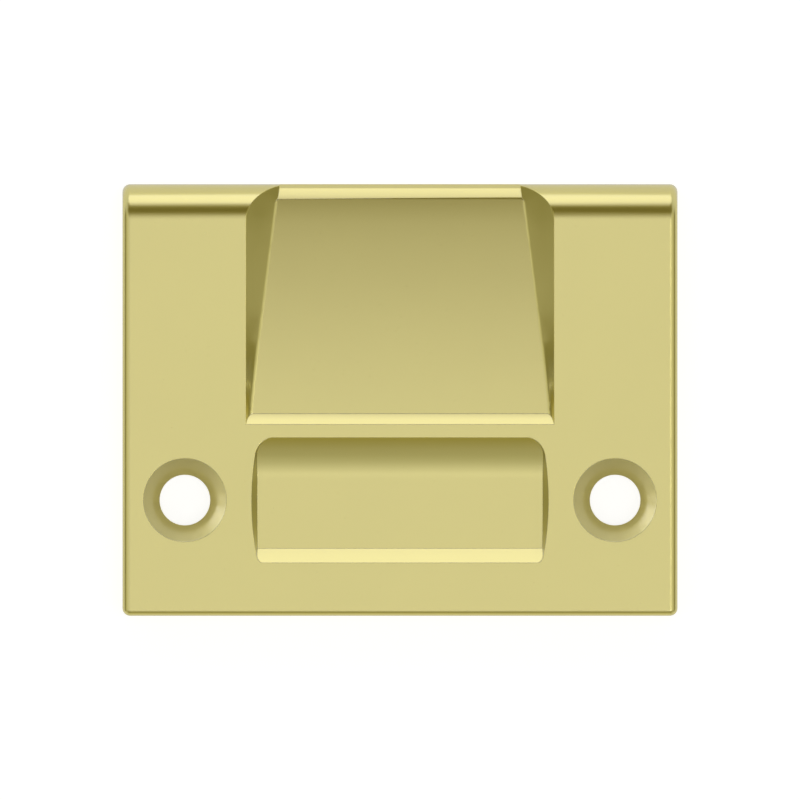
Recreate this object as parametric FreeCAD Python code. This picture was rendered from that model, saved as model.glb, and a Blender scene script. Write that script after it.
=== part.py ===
import FreeCAD, Part
import math
import os

# Door strike plate for a roller catch, cast and finished as one piece of brass.
# Units are millimetres. The plate lies on its back: the flat back is z = 0, the show face is up,
# +X runs along the plate and +Y runs towards the lip. The origin is the centre of the back.

# Plate
plate_length = 57.15
plate_width = 44.45
plate_thickness = 4.0
corner_radius = 0.8
face_edge_round = 0.8
foot_edge_round = 0.6
lip_radius = 3.65

# Ramp that leads the roller over the lip
ramp_to_end = 12.7
ramp_wall_run_at_foot = 0.225
ramp_wall_run_at_lip = 3.375
ramp_foot_depth = 0.7
ramp_foot_tilt = 1.0
ramp_lip_tilt = 7.5
ramp_foot_facet = 1.1
ramp_facet_tilt_at_face = 38.0
ramp_corner_round = 0.6

# Lead-in, where the ramp's floor turns down over the lip
lead_in_width = 1.55
lead_in_tilt_at_floor = 25.0
lead_in_run_out = 0.4
lead_in_run_out_tilt = 60.0
lead_in_edge_height = 0.3
lead_in_edge_round = 0.65

# Pocket that the roller drops into
land_width = 1.35
pocket_width = 12.9
pocket_to_edge = 5.47
pocket_to_countersink = 3.2
pocket_depth = 1.14
pocket_entry_tilt = 30.0
pocket_exit_tilt = 38.0
pocket_entry_corner = 2.2
pocket_exit_corner = 0.9
pocket_floor_bow = 0.05
pocket_rim_bow = 0.65

# Screw holes, in line with the middle of the pocket
hole_to_end = 6.425
hole_diameter = 5.2
countersink_diameter = 8.6
countersink_angle = 82.0

# How far a cutter stands clear of the metal that it cuts
cutter_clearance = 1.0
rim_clearance = 0.05
floor_clearance = 0.08
ramp_stations = 7

# Where each feature lies
face_z = plate_thickness
lip_y = plate_width / 2
lead_in_y = lip_y - lead_in_width
pocket_exit_y = pocket_to_edge - plate_width / 2
pocket_entry_y = pocket_exit_y + pocket_width
pocket_middle_y = (pocket_entry_y + pocket_exit_y) / 2
foot_y = pocket_entry_y + land_width
facet_y = foot_y + ramp_foot_facet
hole_x = plate_length / 2 - hole_to_end
pocket_half_length = hole_x - countersink_diameter / 2 - pocket_to_countersink
ramp_half_width = plate_length / 2 - ramp_to_end
ramp_length = lip_y - foot_y


def sine(degrees):
    return math.sin(math.radians(degrees))


def cosine(degrees):
    return math.cos(math.radians(degrees))


def tangent(degrees):
    return math.tan(math.radians(degrees))


def section_point(y, z):
    """A point of a section drawn in the YZ plane."""
    return FreeCAD.Vector(0, y, z)


def plan_point(x, y, z=0.0):
    return FreeCAD.Vector(x, y, z)


def line(start, end):
    return Part.LineSegment(start, end).toShape()


def arc(start, middle, end):
    return Part.Arc(start, middle, end).toShape()


def arc_about(centre, radius, start_angle, end_angle, point):
    """An arc about a centre given as (u, v), with its angles in degrees; point(u, v) places it."""
    points = []
    for angle in (start_angle, (start_angle + end_angle) / 2, end_angle):
        points.append(point(centre[0] + radius * cosine(angle), centre[1] + radius * sine(angle)))
    return arc(*points)


def polyline(points):
    return [line(start, end) for start, end in zip(points, points[1:])]


def curve_down(start, end, tilt_at_start):
    """An arc of a section, from (y, z) to (y, z), that leaves its start at a tilt below level."""
    run, drop = end[0] - start[0], start[1] - end[1]
    chord_tilt = math.degrees(math.atan2(drop, run))
    bulge = math.hypot(run, drop) / 2 * tangent((chord_tilt - tilt_at_start) / 2)
    middle = section_point(
        (start[0] + end[0]) / 2 + bulge * sine(chord_tilt),
        (start[1] + end[1]) / 2 + bulge * cosine(chord_tilt),
    )
    return arc(section_point(*start), middle, section_point(*end))


def along_plate(edges, length):
    """A closed YZ section, drawn out along X and centred on the plate."""
    section = Part.Face(Part.Wire(edges))
    solid = section.extrude(FreeCAD.Vector(length, 0, 0))
    solid.translate(FreeCAD.Vector(-length / 2, 0, 0))
    return solid


def blank_section():
    """Outline of the plate seen from its end: plain rounded edge at -Y, quarter-round lip at +Y."""
    round_y = foot_edge_round - plate_width / 2
    round_z = face_z - foot_edge_round
    back = polyline(
        [
            section_point(-plate_width / 2, round_z),
            section_point(-plate_width / 2, 0),
            section_point(lip_y, 0),
            section_point(lip_y, face_z - lip_radius),
        ]
    )
    lip = arc_about((lip_y - lip_radius, face_z - lip_radius), lip_radius, 0, 90, section_point)
    face = line(section_point(lip_y - lip_radius, face_z), section_point(round_y, face_z))
    plain_edge = arc_about((round_y, round_z), foot_edge_round, 90, 180, section_point)
    return back + [lip, face, plain_edge]


def end_edges(solid):
    """The edges at both ends of the drawn-out blank, apart from those of its flat back."""
    found = []
    for edge in solid.Edges:
        box = edge.BoundBox
        at_an_end = box.XLength < 1e-6 and abs(abs(box.XMin) - plate_length / 2) < 1e-6
        if at_an_end and box.ZMax > 1e-6:
            found.append(edge)
    return found


def rounded_outline():
    """A block of the plate's plan outline, with its four corners rounded."""
    block = Part.makeBox(
        plate_length, plate_width, face_z, plan_point(-plate_length / 2, -plate_width / 2)
    )
    upright = [edge for edge in block.Edges if edge.BoundBox.ZLength > face_z / 2]
    return block.makeFillet(corner_radius, upright)


def blank():
    """The plate before anything is cut into it."""
    drawn = along_plate(blank_section(), plate_length)
    rounded = drawn.makeFillet(face_edge_round, end_edges(drawn))
    return rounded.common(rounded_outline())


def ramp_radius():
    """The ramp's floor is one long arc, from its tilt at the foot to its tilt at the lead-in."""
    return (lead_in_y - facet_y) / (sine(ramp_lip_tilt) - sine(ramp_foot_tilt))


def ramp_centre():
    radius = ramp_radius()
    return (
        facet_y - radius * sine(ramp_foot_tilt),
        face_z - ramp_foot_depth - radius * cosine(ramp_foot_tilt),
    )


def ramp_depth(y):
    """Depth of the ramp's arc below the face, at a distance along Y."""
    centre_y, centre_z = ramp_centre()
    return face_z - centre_z - math.sqrt(ramp_radius() ** 2 - (y - centre_y) ** 2)


def ramp_wall_run(y):
    """How far a side wall leans in over its height: it grows evenly from the foot to the lip."""
    share = (y - foot_y) / ramp_length
    return ramp_wall_run_at_foot + share * (ramp_wall_run_at_lip - ramp_wall_run_at_foot)


def lead_in_corner():
    """Where the lead-in's curve meets the steep run-out that takes it off the lip's edge."""
    height = lead_in_edge_height + lead_in_run_out * tangent(lead_in_run_out_tilt)
    return lip_y - lead_in_run_out, height


def ramp_section():
    """The ramp from its end: hollow facet at the foot, long arc, lead-in, then out over the lip."""
    above = face_z + cutter_clearance
    beyond = lip_y + cutter_clearance
    floor = arc_about(
        ramp_centre(), ramp_radius(), 90 - ramp_foot_tilt, 90 - ramp_lip_tilt, section_point
    )
    floor_end = (lead_in_y, face_z - ramp_depth(lead_in_y))
    corner_y, corner_z = lead_in_corner()
    lead_in = curve_down(floor_end, (corner_y, corner_z), lead_in_tilt_at_floor)
    facet_end = (facet_y, face_z - ramp_foot_depth)
    facet = curve_down((foot_y, face_z), facet_end, ramp_facet_tilt_at_face)
    run_out = (corner_z + cutter_clearance) / tangent(lead_in_run_out_tilt)
    rest = polyline(
        [
            section_point(corner_y, corner_z),
            section_point(corner_y + run_out, -cutter_clearance),
            section_point(beyond, -cutter_clearance),
            section_point(beyond, above),
            section_point(foot_y - cutter_clearance / tangent(ramp_facet_tilt_at_face), above),
            section_point(foot_y, face_z),
        ]
    )
    return [floor, lead_in] + rest + [facet]


def ramp_reach():
    """All that the ramp's section sweeps, with the lead-in's outer corner rounded."""
    drawn = along_plate(ramp_section(), 2 * ramp_half_width + 4 * cutter_clearance)
    corner = FreeCAD.Vector(0, *lead_in_corner())
    at_corner = [edge for edge in drawn.Edges if edge.CenterOfMass.isEqual(corner, 1e-6)]
    return drawn.makeFillet(lead_in_edge_round, at_corner)


def ramp_wall_wire(y):
    """One section across the ramp.

    Each side wall runs through the edge of the face and the edge of the floor. Just below the
    floor it turns upright, so that the lead-in is cut with square ends.
    """
    slope = ramp_wall_run(y) / ramp_depth(y)
    turn = ramp_depth(y) + floor_clearance
    narrow = ramp_half_width - slope * turn
    wide = ramp_half_width + slope * cutter_clearance
    side = [
        (narrow, -2 * cutter_clearance),
        (narrow, face_z - turn),
        (wide, face_z + cutter_clearance),
    ]
    right = [plan_point(x, y, z) for x, z in side]
    left = [plan_point(-x, y, z) for x, z in reversed(side)]
    return Part.makePolygon(right + left + right[:1])


def ramp_walls():
    """The space between the ramp's twisted side walls, lofted from foot to lip."""
    start = foot_y - cutter_clearance
    step = (lip_y + cutter_clearance - start) / (ramp_stations - 1)
    wires = [ramp_wall_wire(start + step * n) for n in range(ramp_stations)]
    return Part.makeLoft(wires, True, False)


def floor_corner_edges(solid):
    """The two long edges where the ramp's floor meets its side walls."""
    found = []
    for edge in solid.Edges:
        box = edge.BoundBox
        low = box.ZMax < face_z - ramp_foot_depth / 2
        if low and box.YLength > ramp_length / 2:
            found.append(edge)
    return found


def ramp_cutter():
    cutter = ramp_reach().common(ramp_walls())
    return cutter.makeFillet(ramp_corner_round, floor_corner_edges(cutter))


def pocket_section():
    """The pocket from its end: hollow entry wall, flat floor, straight exit wall."""
    radius = pocket_depth / (1 - cosine(pocket_entry_tilt))
    floor_z = face_z - pocket_depth
    floor_start = pocket_entry_y - radius * sine(pocket_entry_tilt)
    floor_end = pocket_exit_y + pocket_depth / tangent(pocket_exit_tilt)
    entry = arc_about(
        (floor_start, floor_z + radius), radius, 270 + pocket_entry_tilt, 270, section_point
    )
    above = face_z + cutter_clearance
    rest = polyline(
        [
            section_point(floor_start, floor_z),
            section_point(floor_end, floor_z),
            section_point(pocket_exit_y - cutter_clearance / tangent(pocket_exit_tilt), above),
            section_point(pocket_entry_y + cutter_clearance / tangent(pocket_entry_tilt), above),
            section_point(pocket_entry_y, face_z),
        ]
    )
    return [entry] + rest


def bowed_outline(bow, z):
    """The pocket in plan at height z: rounded corners, and ends bowed out by bow."""
    half_width = pocket_width / 2 + rim_clearance
    bow_radius = (half_width**2 + bow**2) / (2 * bow)
    bow_centre = pocket_half_length + bow - bow_radius

    def corner(side, radius):
        """Centre of a corner, and the angle at which it leaves the bowed end."""
        rise = half_width - radius
        run = math.sqrt((bow_radius - radius) ** 2 - rise**2)
        centre = (bow_centre + run, pocket_middle_y + side * rise)
        return centre, side * math.degrees(math.atan2(rise, run))

    def place(mirror):
        return lambda x, y: plan_point(mirror * x, y, z)

    entry_centre, entry_angle = corner(1, pocket_entry_corner)
    exit_centre, exit_angle = corner(-1, pocket_exit_corner)
    edges = []
    for mirror in (1, -1):
        point = place(mirror)
        edges.append(arc_about(entry_centre, pocket_entry_corner, 90, entry_angle, point))
        end_centre = (bow_centre, pocket_middle_y)
        edges.append(arc_about(end_centre, bow_radius, entry_angle, exit_angle, point))
        edges.append(arc_about(exit_centre, pocket_exit_corner, exit_angle, -90, point))
    for (x, _), side in ((exit_centre, -1), (entry_centre, 1)):
        y = pocket_middle_y + side * half_width
        edges.append(line(plan_point(-x, y, z), plan_point(x, y, z)))
    return Part.Wire(Part.__sortEdges__(edges))


def pocket_cutter():
    """The drawn-out pocket section, held inside ends that bow out from the floor to the rim."""
    reach = 1 + cutter_clearance / pocket_depth
    top_bow = pocket_floor_bow + (pocket_rim_bow - pocket_floor_bow) * reach
    ends = Part.makeLoft(
        [
            bowed_outline(pocket_floor_bow, face_z - pocket_depth),
            bowed_outline(top_bow, face_z + cutter_clearance),
        ],
        True,
        True,
    )
    drawn = along_plate(pocket_section(), 2 * pocket_half_length + 8 * cutter_clearance)
    return drawn.common(ends)


def screw_hole_cutter(x):
    """A through hole with a countersink that ends at the face."""
    hole_radius = hole_diameter / 2
    mouth_radius = countersink_diameter / 2
    slope = tangent(countersink_angle / 2)
    sink_depth = (mouth_radius - hole_radius) / slope
    shank = Part.makeCylinder(
        hole_radius,
        plate_thickness + 2 * cutter_clearance,
        plan_point(x, pocket_middle_y, -cutter_clearance),
    )
    sink = Part.makeCone(
        hole_radius,
        mouth_radius + cutter_clearance * slope,
        sink_depth + cutter_clearance,
        plan_point(x, pocket_middle_y, face_z - sink_depth),
    )
    return shank.fuse(sink)


def strike_plate():
    plate = blank().cut(ramp_cutter()).cut(pocket_cutter())
    for side in (-1, 1):
        plate = plate.cut(screw_hole_cutter(side * hole_x))
    return plate


os.makedirs("parts", exist_ok=True)
strike_plate().exportStep("parts/strike_plate.step")
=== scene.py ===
"""Looks of the door strike plate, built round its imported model.

One piece of brass with a fine satin finish under clear lacquer, lying on its back on a pale
floor and seen from straight above, in soft studio light.
"""

import math

import bmesh
import bpy
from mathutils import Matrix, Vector


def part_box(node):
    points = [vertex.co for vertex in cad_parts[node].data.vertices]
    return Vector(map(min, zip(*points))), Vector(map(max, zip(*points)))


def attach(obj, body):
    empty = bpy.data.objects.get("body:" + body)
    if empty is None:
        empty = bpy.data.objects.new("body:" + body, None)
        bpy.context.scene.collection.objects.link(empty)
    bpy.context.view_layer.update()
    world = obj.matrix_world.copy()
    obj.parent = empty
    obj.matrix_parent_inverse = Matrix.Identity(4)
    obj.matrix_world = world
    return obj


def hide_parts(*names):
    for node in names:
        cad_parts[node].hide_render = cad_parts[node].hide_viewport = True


bl_info = {
    "name": "Door strike plate",
    "version": (1, 0, 0),
    "blender": (4, 5, 0),
    "location": "View3D > Sidebar > Strike plate",
    "description": "Builds the finish, floor, light and camera of a brass door strike plate",
    "category": "Object",
}

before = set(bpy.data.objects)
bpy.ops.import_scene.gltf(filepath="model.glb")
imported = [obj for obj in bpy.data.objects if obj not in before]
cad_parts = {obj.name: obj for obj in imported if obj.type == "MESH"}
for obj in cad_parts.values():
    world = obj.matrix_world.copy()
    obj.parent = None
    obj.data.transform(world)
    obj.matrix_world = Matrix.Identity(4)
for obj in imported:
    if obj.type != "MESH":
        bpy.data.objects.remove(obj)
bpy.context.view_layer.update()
PLATE_NODE = "strike_plate"

# Middle of each screw hole on the face, and the radius of its countersink there
SCREW_HOLES = ((-0.02215, -0.010305), (0.02215, -0.010305))
COUNTERSINK_RADIUS = 0.0043

# Finishes of the plate, in the order of its materials, each with its colour in the settings; the
# last is painted shade, a darker brass on the pocket's steep end walls
FINISHES = ("lacquered_brass", "cut_brass", "painted_shade_brass")

# Where the end walls of the roller pocket lie, which get the painted shade: how far from the
# middle, and between which sides
POCKET_END_REACH = (0.0138, 0.0157)
POCKET_END_SIDES = (-0.0158, -0.0041)

# How far up the normals of faces point: in the screw holes, and at most on a steep wall
HOLE_NORMALS = (-0.5, 0.9)
STEEP_NORMAL = 0.5

# Vertices closer than this are one, and faces that turn by less than this are one flat
MERGE_DISTANCE = 0.000001
FLAT_ANGLE = math.radians(0.2)

# Weight at which the larger face sets the normals along a smooth edge
LARGE_FACE_WEIGHT = 100

# Cosine of the turn from the flat surface at which an edge is fully worn
WORN_TURN = 0.94

# How the photograph is framed
PHOTO_SIDE_PIXELS = 800
PLATE_LENGTH_PIXELS = 555


def plate_length():
    low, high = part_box(PLATE_NODE)
    return high.x - low.x


class PlateSettings(bpy.types.PropertyGroup):
    """Finish of the plate."""

    lacquered_brass: bpy.props.FloatVectorProperty(
        name="Lacquered brass",
        description="Colour of the polished metal under the lacquer",
        subtype="COLOR",
        size=3,
        min=0.0,
        max=1.0,
        default=(0.93, 0.82, 0.22),
    )
    cut_brass: bpy.props.FloatVectorProperty(
        name="Cut brass",
        description="Paler colour of the freshly cut metal in the screw holes and countersinks",
        subtype="COLOR",
        size=3,
        min=0.0,
        max=1.0,
        default=(0.85, 0.79, 0.42),
    )
    # Painted shade: a darker brass colour on the pocket's steep end walls, standing in for the
    # shade that falls there
    painted_shade_brass: bpy.props.FloatVectorProperty(
        name="Painted shade brass",
        description="Darker colour of the pocket's steep ends, which polishing doesn't reach",
        subtype="COLOR",
        size=3,
        min=0.0,
        max=1.0,
        default=(0.46, 0.425, 0.155),
    )
    roughness: bpy.props.FloatProperty(
        name="Roughness",
        description="Roughness of the satin metal",
        default=0.28,
        min=0.0,
        max=1.0,
        subtype="FACTOR",
    )
    lacquer_roughness: bpy.props.FloatProperty(
        name="Lacquer roughness",
        description="Roughness of the clear lacquer over the metal",
        default=0.08,
        min=0.0,
        max=1.0,
        subtype="FACTOR",
    )
    lacquer_ior: bpy.props.FloatProperty(
        name="Lacquer index",
        description="Index of refraction of the lacquer, which sets how white its gloss is",
        default=2.3,
        min=1.0,
        max=4.0,
    )
    grain_size: bpy.props.FloatProperty(
        name="Grain size",
        description="Size of the fine grain left by finishing",
        default=0.00018,
        min=0.00002,
        unit="LENGTH",
        precision=5,
    )
    grain_roughness: bpy.props.FloatProperty(
        name="Grain roughness",
        description="How much the grain raises and lowers the roughness",
        default=0.012,
        min=0.0,
        max=1.0,
    )
    grain_strength: bpy.props.FloatProperty(
        name="Grain strength",
        description="Strength of the grain's relief",
        default=0.02,
        min=0.0,
        max=1.0,
        subtype="FACTOR",
    )
    grain_depth: bpy.props.FloatProperty(
        name="Grain depth",
        description="Depth of the grain's relief at full strength",
        default=0.00001,
        min=0.0,
        unit="LENGTH",
        precision=6,
    )
    mottle_size: bpy.props.FloatProperty(
        name="Mottle size",
        description="Size of the faint uneven patches in the colour",
        default=0.006,
        min=0.0001,
        unit="LENGTH",
        precision=4,
    )
    mottle_shade: bpy.props.FloatProperty(
        name="Mottle shade",
        description="How much lighter and darker the patches are, as a share of the colour",
        default=0.015,
        min=0.0,
        max=1.0,
    )
    edge_width: bpy.props.FloatProperty(
        name="Edge width",
        description="How far the worn softness of an edge reaches",
        default=0.00012,
        min=0.0,
        unit="LENGTH",
        precision=5,
    )
    edge_polish: bpy.props.FloatProperty(
        name="Edge polish",
        description="How much smoother handling has made the edges",
        default=0.06,
        min=0.0,
        max=1.0,
    )
    smooth_angle: bpy.props.FloatProperty(
        name="Smooth angle",
        description="Edges that turn by more than this stay crisp",
        default=math.radians(17.0),
        subtype="ANGLE",
    )


class StageSettings(bpy.types.PropertyGroup):
    """Floor, light and framing."""

    floor_size: bpy.props.FloatProperty(
        name="Floor size",
        description="Width of the pale floor",
        default=1.6,
        min=0.2,
        unit="LENGTH",
    )
    floor_gap: bpy.props.FloatProperty(
        name="Floor gap",
        description="Gap that keeps the floor off the plate's flat back",
        default=0.00005,
        min=0.0,
        unit="LENGTH",
        precision=5,
    )
    floor_colour: bpy.props.FloatVectorProperty(
        name="Floor colour",
        description="Colour of the pale floor",
        subtype="COLOR",
        size=3,
        min=0.0,
        max=1.0,
        default=(0.5, 0.5, 0.5),
    )
    floor_white: bpy.props.FloatProperty(
        name="Floor white",
        description="White that the floor has of its own in the picture, on top of its lit colour",
        default=0.83,
        min=0.0,
        max=1.0,
    )
    mirrored_white: bpy.props.FloatProperty(
        name="Mirrored white",
        description="White that the floor has of its own in reflections",
        default=0.4,
        min=0.0,
        max=1.0,
    )
    dome_light: bpy.props.FloatVectorProperty(
        name="Dome light",
        description="Dim warm light of the studio away from its softboxes",
        subtype="COLOR",
        size=3,
        min=0.0,
        default=(0.1, 0.08, 0.01),
    )
    horizon_light: bpy.props.FloatVectorProperty(
        name="Horizon light",
        description="Light of the pale backdrop round the horizon",
        subtype="COLOR",
        size=3,
        min=0.0,
        default=(0.2, 0.2, 0.16),
    )
    camera_height: bpy.props.FloatProperty(
        name="Camera height",
        description="Distance of the camera above the floor",
        default=0.4,
        min=0.05,
        unit="LENGTH",
    )


# Heights above the horizon, in degrees, at which the pale backdrop ends and is full
BACKDROP_HEIGHTS = (18.0, 4.0)

# Softboxes of the studio: name, direction from the plate as azimuth and angle from straight up,
# where azimuth 90 is over the lip, then inner and outer half angle, all in degrees, and light.
SOFTBOXES = (
    ("overhead", (270.0, 1.5), 5.0, 27.0, (0.37, 0.37, 0.375)),
    ("foot_side_high", (270.0, 22.0), 4.0, 39.0, (0.16, 0.18, 0.24)),
    ("foot_side_low", (270.0, 50.0), 6.0, 36.0, (0.13, 0.12, 0.05)),
    ("right_high", (0.0, 22.0), 4.0, 30.0, (0.15, 0.155, 0.21)),
    ("left_high", (180.0, 22.0), 4.0, 30.0, (0.15, 0.155, 0.21)),
    ("right_low", (0.0, 45.0), 14.0, 32.0, (0.39, 0.4, 0.36)),
    ("left_low", (180.0, 45.0), 14.0, 32.0, (0.39, 0.4, 0.36)),
    ("lip_side", (90.0, 71.0), 8.0, 29.0, (0.97, 0.99, 1.14)),
    ("lip_right", (45.0, 76.0), 12.0, 34.0, (0.42, 0.44, 0.5)),
    ("lip_left", (135.0, 76.0), 12.0, 34.0, (0.42, 0.44, 0.5)),
    ("foot_right", (315.0, 76.0), 12.0, 30.0, (0.36, 0.36, 0.34)),
    ("foot_left", (225.0, 76.0), 12.0, 30.0, (0.36, 0.36, 0.34)),
    ("foot_horizon", (270.0, 81.0), 10.0, 22.0, (0.38, 0.38, 0.32)),
    ("lamp", (334.0, 17.0), 3.0, 7.0, (2.8, 2.8, 3.1)),
)


def socket(group, name, kind, into, default=None):
    """One named input or output of a node group."""
    made = group.interface.new_socket(name=name, in_out=into, socket_type=kind)
    if default is not None:
        made.default_value = default
    return made


def node(tree, kind, place, **values):
    """A node of that kind at a place, with its plain properties set."""
    made = tree.nodes.new(kind)
    made.location = place
    for name, value in values.items():
        setattr(made, name, value)
    return made


def finish_group():
    """Fine grain and faint unevenness of a finished metal surface."""
    group = bpy.data.node_groups.new("metal_finish", "ShaderNodeTree")
    socket(group, "Colour", "NodeSocketColor", "INPUT", (0.9, 0.7, 0.2, 1.0))
    socket(group, "Roughness", "NodeSocketFloat", "INPUT", 0.3)
    socket(group, "Grain size", "NodeSocketFloat", "INPUT", 0.0002)
    socket(group, "Grain roughness", "NodeSocketFloat", "INPUT", 0.01)
    socket(group, "Mottle size", "NodeSocketFloat", "INPUT", 0.006)
    socket(group, "Mottle shade", "NodeSocketFloat", "INPUT", 0.01)
    socket(group, "Colour", "NodeSocketColor", "OUTPUT")
    socket(group, "Roughness", "NodeSocketFloat", "OUTPUT")
    socket(group, "Height", "NodeSocketFloat", "OUTPUT")
    given = node(group, "NodeGroupInput", (-1000, 0))
    place = node(group, "ShaderNodeTexCoord", (-1000, -300))
    result = node(group, "NodeGroupOutput", (400, 0))
    link = group.links.new

    def noise(size_name, detail, at):
        scale = node(group, "ShaderNodeMath", (-800, at), operation="DIVIDE")
        scale.inputs[0].default_value = 1.0
        made = node(group, "ShaderNodeTexNoise", (-600, at))
        made.inputs["Detail"].default_value = detail
        link(given.outputs[size_name], scale.inputs[1])
        link(place.outputs["Object"], made.inputs["Vector"])
        link(scale.outputs["Value"], made.inputs["Scale"])
        return made.outputs["Fac"]

    def swing(pattern, amount, at):
        """Adds an amount, up where the pattern is bright and down where it is dark."""
        sign = node(group, "ShaderNodeMapRange", (-400, at))
        sign.inputs["To Min"].default_value = -1.0
        scaled = node(group, "ShaderNodeMath", (-200, at), operation="MULTIPLY")
        added = node(group, "ShaderNodeMath", (0, at), operation="ADD")
        link(pattern, sign.inputs["Value"])
        link(sign.outputs["Result"], scaled.inputs[0])
        link(given.outputs[amount], scaled.inputs[1])
        link(scaled.outputs["Value"], added.inputs[0])
        return added

    grain = noise("Grain size", 3.0, -100)
    mottle = noise("Mottle size", 2.0, -400)
    shade = swing(mottle, "Mottle shade", 200)
    shade.inputs[1].default_value = 1.0
    roughness = swing(grain, "Grain roughness", -100)
    link(given.outputs["Roughness"], roughness.inputs[1])
    tint = node(group, "ShaderNodeMix", (200, 200), data_type="RGBA", blend_type="MULTIPLY")
    tint.inputs["Factor"].default_value = 1.0
    link(given.outputs["Colour"], tint.inputs["A"])
    link(shade.outputs["Value"], tint.inputs["B"])
    link(tint.outputs["Result"], result.inputs["Colour"])
    link(roughness.outputs["Value"], result.inputs["Roughness"])
    link(grain, result.inputs["Height"])
    return group


def edge_group():
    """Where a surface is near an edge, and its normal with that edge slightly rounded."""
    group = bpy.data.node_groups.new("soft_edges", "ShaderNodeTree")
    socket(group, "Width", "NodeSocketFloat", "INPUT", 0.0002)
    socket(group, "Edge", "NodeSocketFloat", "OUTPUT")
    socket(group, "Normal", "NodeSocketVector", "OUTPUT")
    given = node(group, "NodeGroupInput", (-600, 0))
    rounded = node(group, "ShaderNodeBevel", (-400, 0), samples=6)
    surface = node(group, "ShaderNodeNewGeometry", (-400, -200))
    turn = node(group, "ShaderNodeVectorMath", (-200, -100), operation="DOT_PRODUCT")
    near = node(group, "ShaderNodeMapRange", (0, -100))
    near.inputs["From Min"].default_value = 1.0
    near.inputs["From Max"].default_value = WORN_TURN
    result = node(group, "NodeGroupOutput", (200, 0))
    link = group.links.new
    link(given.outputs["Width"], rounded.inputs["Radius"])
    link(rounded.outputs["Normal"], turn.inputs[0])
    link(surface.outputs["Normal"], turn.inputs[1])
    link(turn.outputs["Value"], near.inputs["Value"])
    link(near.outputs["Result"], result.inputs["Edge"])
    link(rounded.outputs["Normal"], result.inputs["Normal"])
    return group


def brass_material(name, groups, settings):
    """Satin brass under clear lacquer, polished a little by handling along its edges."""
    finish_nodes, edge_nodes = groups
    material = bpy.data.materials.new(name)
    material.use_nodes = True
    tree = material.node_tree
    shader = tree.nodes["Principled BSDF"]
    shader.inputs["Metallic"].default_value = 1.0
    shader.inputs["Coat Weight"].default_value = 1.0
    shader.inputs["Coat Roughness"].default_value = settings.lacquer_roughness
    shader.inputs["Coat IOR"].default_value = settings.lacquer_ior
    finish = node(tree, "ShaderNodeGroup", (-900, 0), node_tree=finish_nodes)
    finish.inputs["Colour"].default_value = (*getattr(settings, name), 1.0)
    finish.inputs["Roughness"].default_value = settings.roughness
    finish.inputs["Grain size"].default_value = settings.grain_size
    finish.inputs["Grain roughness"].default_value = settings.grain_roughness
    finish.inputs["Mottle size"].default_value = settings.mottle_size
    finish.inputs["Mottle shade"].default_value = settings.mottle_shade
    edges = node(tree, "ShaderNodeGroup", (-900, -300), node_tree=edge_nodes)
    edges.inputs["Width"].default_value = settings.edge_width
    polish = node(tree, "ShaderNodeMath", (-600, -100), operation="MULTIPLY")
    polish.inputs[1].default_value = settings.edge_polish
    smoother = node(tree, "ShaderNodeMath", (-400, 0), operation="SUBTRACT")
    bump = node(tree, "ShaderNodeBump", (-400, -300))
    bump.inputs["Strength"].default_value = settings.grain_strength
    bump.inputs["Distance"].default_value = settings.grain_depth
    link = tree.links.new
    link(edges.outputs["Edge"], polish.inputs[0])
    link(finish.outputs["Roughness"], smoother.inputs[0])
    link(polish.outputs["Value"], smoother.inputs[1])
    link(finish.outputs["Colour"], shader.inputs["Base Color"])
    link(smoother.outputs["Value"], shader.inputs["Roughness"])
    link(finish.outputs["Height"], bump.inputs["Height"])
    link(edges.outputs["Normal"], bump.inputs["Normal"])
    link(bump.outputs["Normal"], shader.inputs["Normal"])
    return material


def in_screw_hole(face):
    """Whether a face belongs to a screw hole or its countersink."""
    middle = face.calc_center_median()
    near = any(math.dist(middle.xy, hole) < COUNTERSINK_RADIUS for hole in SCREW_HOLES)
    return near and HOLE_NORMALS[0] < face.normal.z < HOLE_NORMALS[1]


def in_pocket_end(face):
    """Whether a face belongs to a steep end wall of the roller pocket, which gets the painted
    shade.
    """
    middle = face.calc_center_median()
    at_end = POCKET_END_REACH[0] < abs(middle.x) < POCKET_END_REACH[1]
    between = POCKET_END_SIDES[0] < middle.y < POCKET_END_SIDES[1]
    return at_end and between and face.normal.z < STEEP_NORMAL


def finish_of(face):
    """Name of the finish that a face has, or of the painted shade on the pocket's steep end walls.
    """
    if in_screw_hole(face):
        return "cut_brass"
    # The pocket's steep end walls get painted shade, a darker brass colour where shade falls
    return "painted_shade_brass" if in_pocket_end(face) else "lacquered_brass"


def plate_mesh(settings):
    """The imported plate's surface with clean flats and crisp edges."""
    shape = bmesh.new()
    shape.from_mesh(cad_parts[PLATE_NODE].data)
    bmesh.ops.remove_doubles(shape, verts=shape.verts, dist=MERGE_DISTANCE)
    bmesh.ops.dissolve_limit(
        shape, angle_limit=FLAT_ANGLE, verts=shape.verts, edges=shape.edges
    )
    for face in shape.faces:
        face.smooth = True
        face.material_index = FINISHES.index(finish_of(face))
    for edge in shape.edges:
        edge.smooth = edge.is_manifold and edge.calc_face_angle() < settings.smooth_angle
    mesh = bpy.data.meshes.new("plate_body")
    shape.to_mesh(mesh)
    shape.free()
    return mesh


class STRIKE_OT_plate(bpy.types.Operator):
    """Build the finished brass plate over its solid"""

    bl_idname = "strike.plate"
    bl_label = "Strike plate"

    def execute(self, context):
        settings = context.scene.strike_plate_finish
        piece = bpy.data.objects.new("plate_body", plate_mesh(settings))
        context.scene.collection.objects.link(piece)
        groups = (finish_group(), edge_group())
        for name in FINISHES:
            piece.data.materials.append(brass_material(name, groups, settings))
        weighted = piece.modifiers.new("flat_faces_lead", "WEIGHTED_NORMAL")
        weighted.keep_sharp = True
        weighted.weight = LARGE_FACE_WEIGHT
        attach(piece, "root")
        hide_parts(PLATE_NODE)
        return {"FINISHED"}


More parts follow.
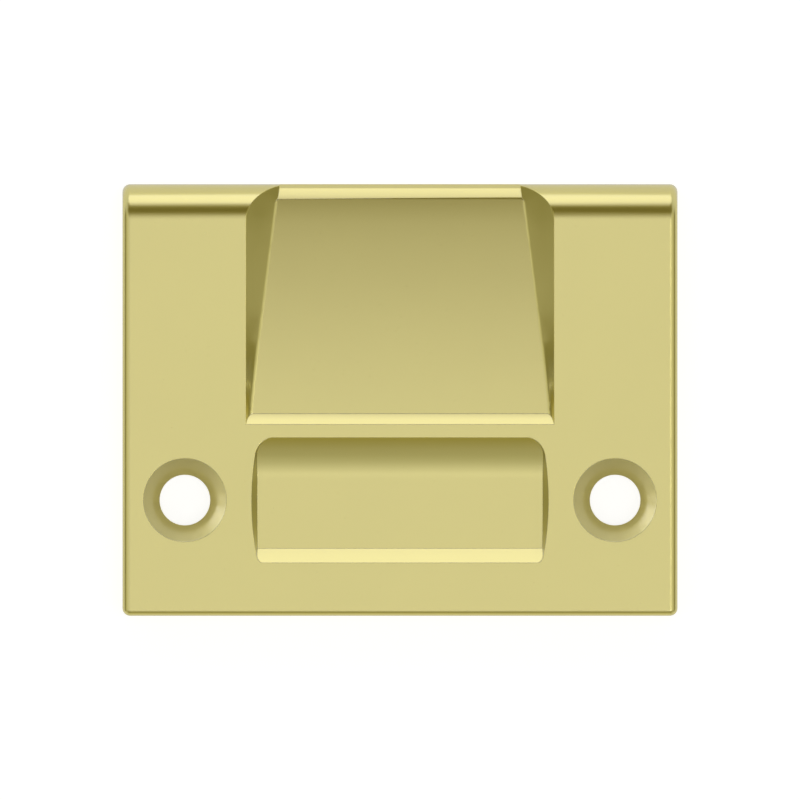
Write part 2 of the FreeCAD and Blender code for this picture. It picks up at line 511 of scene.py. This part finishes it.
def floor_material(settings):
    """Pale floor that shows white, keeps the plate's soft shadow and can't be seen from below."""
    material = bpy.data.materials.new("pale_floor")
    material.use_nodes = True
    tree = material.node_tree
    tree.nodes.clear()
    output = node(tree, "ShaderNodeOutputMaterial", (800, 0))
    paint = node(tree, "ShaderNodeBsdfDiffuse", (200, 100))
    paint.inputs["Color"].default_value = (*settings.floor_colour, 1.0)
    rays = node(tree, "ShaderNodeLightPath", (-600, -100))
    pictured = node(tree, "ShaderNodeMath", (-400, 0), operation="MULTIPLY")
    pictured.inputs[1].default_value = settings.floor_white
    clear = node(tree, "ShaderNodeMath", (-400, -200), operation="MAXIMUM")
    mirrored = node(tree, "ShaderNodeMath", (-200, -200), operation="MULTIPLY")
    mirrored.inputs[1].default_value = settings.mirrored_white
    white = node(tree, "ShaderNodeMath", (0, -100), operation="ADD")
    glow = node(tree, "ShaderNodeEmission", (200, -100))
    surface = node(tree, "ShaderNodeAddShader", (400, 0))
    side = node(tree, "ShaderNodeNewGeometry", (200, 300))
    clear_below = node(tree, "ShaderNodeBsdfTransparent", (400, -200))
    seen = node(tree, "ShaderNodeMixShader", (600, 0))
    link = tree.links.new
    link(rays.outputs["Is Camera Ray"], pictured.inputs[0])
    link(rays.outputs["Is Glossy Ray"], clear.inputs[0])
    link(rays.outputs["Is Transmission Ray"], clear.inputs[1])
    link(clear.outputs["Value"], mirrored.inputs[0])
    link(pictured.outputs["Value"], white.inputs[0])
    link(mirrored.outputs["Value"], white.inputs[1])
    link(white.outputs["Value"], glow.inputs["Strength"])
    link(paint.outputs["BSDF"], surface.inputs[0])
    link(glow.outputs["Emission"], surface.inputs[1])
    link(side.outputs["Backfacing"], seen.inputs["Fac"])
    link(surface.outputs["Shader"], seen.inputs[1])
    link(clear_below.outputs["BSDF"], seen.inputs[2])
    link(seen.outputs["Shader"], output.inputs["Surface"])
    return material


def make_floor(settings):
    """A wide square floor just under the plate's back."""
    low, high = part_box(PLATE_NODE)
    half = settings.floor_size / 2
    level = low.z - settings.floor_gap
    corners = [(-half, -half), (half, -half), (half, half), (-half, half)]
    mesh = bpy.data.meshes.new("floor")
    mesh.from_pydata([(x, y, level) for x, y in corners], [], [(0, 1, 2, 3)])
    floor = bpy.data.objects.new("floor", mesh)
    bpy.context.scene.collection.objects.link(floor)
    mesh.materials.append(floor_material(settings))


def direction_of(azimuth, from_up):
    """Unit vector at an azimuth, and at an angle from straight up, both in degrees."""
    turn, tilt = math.radians(azimuth), math.radians(from_up)
    return (
        math.cos(turn) * math.sin(tilt),
        math.sin(turn) * math.sin(tilt),
        math.cos(tilt),
    )


def softbox(tree, facing, place, centre, inner, outer, light):
    """Light of one softbox: full inside its inner angle from its centre, none past its outer."""
    across, down = place
    towards = node(tree, "ShaderNodeVectorMath", (across, down), operation="DOT_PRODUCT")
    towards.inputs[1].default_value = direction_of(*centre)
    fade = node(tree, "ShaderNodeMapRange", (across + 200, down), interpolation_type="SMOOTHSTEP")
    fade.inputs["From Min"].default_value = math.cos(math.radians(outer))
    fade.inputs["From Max"].default_value = math.cos(math.radians(inner))
    dimmed = node(tree, "ShaderNodeMix", (across + 400, down), data_type="RGBA")
    dimmed.inputs["A"].default_value = (0.0, 0.0, 0.0, 1.0)
    dimmed.inputs["B"].default_value = (*light, 1.0)
    tree.links.new(facing, towards.inputs[0])
    tree.links.new(towards.outputs["Value"], fade.inputs["Value"])
    tree.links.new(fade.outputs["Result"], dimmed.inputs["Factor"])
    return dimmed.outputs["Result"]


def make_light(settings):
    """A dim studio dome with large softboxes and a pale backdrop round the horizon."""
    world = bpy.data.worlds.new("studio")
    bpy.context.scene.world = world
    world.use_nodes = True
    tree = world.node_tree
    tree.nodes.clear()
    link = tree.links.new
    facing = node(tree, "ShaderNodeTexCoord", (-1800, 0)).outputs["Generated"]
    height = node(tree, "ShaderNodeSeparateXYZ", (-1000, -300))
    low = node(tree, "ShaderNodeMapRange", (-800, -300), interpolation_type="SMOOTHSTEP")
    low.inputs["From Min"].default_value = math.sin(math.radians(BACKDROP_HEIGHTS[0]))
    low.inputs["From Max"].default_value = math.sin(math.radians(BACKDROP_HEIGHTS[1]))
    dome = node(tree, "ShaderNodeMix", (-600, -300), data_type="RGBA")
    dome.inputs["A"].default_value = (*settings.dome_light, 1.0)
    dome.inputs["B"].default_value = (*settings.horizon_light, 1.0)
    link(facing, height.inputs["Vector"])
    link(height.outputs["Z"], low.inputs["Value"])
    link(low.outputs["Result"], dome.inputs["Factor"])
    total = dome.outputs["Result"]
    for number, (name, centre, inner, outer, light) in enumerate(SOFTBOXES):
        place = (-1500, 200 * number)
        add = node(tree, "ShaderNodeVectorMath", (-500, 200 * number), operation="ADD", label=name)
        link(softbox(tree, facing, place, centre, inner, outer, light), add.inputs[0])
        link(total, add.inputs[1])
        total = add.outputs["Vector"]
    rays = node(tree, "ShaderNodeLightPath", (-300, 300))
    seen = node(tree, "ShaderNodeMix", (-100, 0), data_type="RGBA")
    seen.inputs["B"].default_value = (1.0, 1.0, 1.0, 1.0)
    sky = node(tree, "ShaderNodeBackground", (100, 0))
    output = node(tree, "ShaderNodeOutputWorld", (300, 0))
    link(rays.outputs["Is Camera Ray"], seen.inputs["Factor"])
    link(total, seen.inputs["A"])
    link(seen.outputs["Result"], sky.inputs["Color"])
    link(sky.outputs["Background"], output.inputs["Surface"])


def make_camera(settings):
    """A camera straight above the plate, with no perspective, framed as the photograph is."""
    camera = bpy.data.cameras.new("camera")
    camera.type = "ORTHO"
    camera.ortho_scale = plate_length() * PHOTO_SIDE_PIXELS / PLATE_LENGTH_PIXELS
    holder = bpy.data.objects.new("camera", camera)
    bpy.context.scene.collection.objects.link(holder)
    holder.location = Vector((0.0, 0.0, settings.camera_height))
    bpy.context.scene.camera = holder


class STRIKE_OT_stage(bpy.types.Operator):
    """Lay the floor, light the studio and set the camera"""

    bl_idname = "strike.stage"
    bl_label = "Stage"

    def execute(self, context):
        settings = context.scene.strike_plate_stage
        make_floor(settings)
        make_light(settings)
        make_camera(settings)
        context.scene.view_settings.view_transform = "Standard"
        return {"FINISHED"}


class STRIKE_PT_panel(bpy.types.Panel):
    """Buttons and settings of the strike plate"""

    bl_idname = "STRIKE_PT_panel"
    bl_label = "Strike plate"
    bl_space_type = "VIEW_3D"
    bl_region_type = "UI"
    bl_category = "Strike plate"

    def draw(self, context):
        for operator, settings in (
            (STRIKE_OT_plate, context.scene.strike_plate_finish),
            (STRIKE_OT_stage, context.scene.strike_plate_stage),
        ):
            box = self.layout.box()
            box.operator(operator.bl_idname)
            for name in settings.__annotations__:
                box.prop(settings, name)


CLASSES = (
    PlateSettings,
    StageSettings,
    STRIKE_OT_plate,
    STRIKE_OT_stage,
    STRIKE_PT_panel,
)


def register():
    for made in CLASSES:
        bpy.utils.register_class(made)
    bpy.types.Scene.strike_plate_finish = bpy.props.PointerProperty(type=PlateSettings)
    bpy.types.Scene.strike_plate_stage = bpy.props.PointerProperty(type=StageSettings)


def unregister():
    del bpy.types.Scene.strike_plate_stage
    del bpy.types.Scene.strike_plate_finish
    for made in reversed(CLASSES):
        bpy.utils.unregister_class(made)


def main():
    register()
    bpy.ops.strike.plate()
    bpy.ops.strike.stage()


if __name__ == "__main__":
    main()
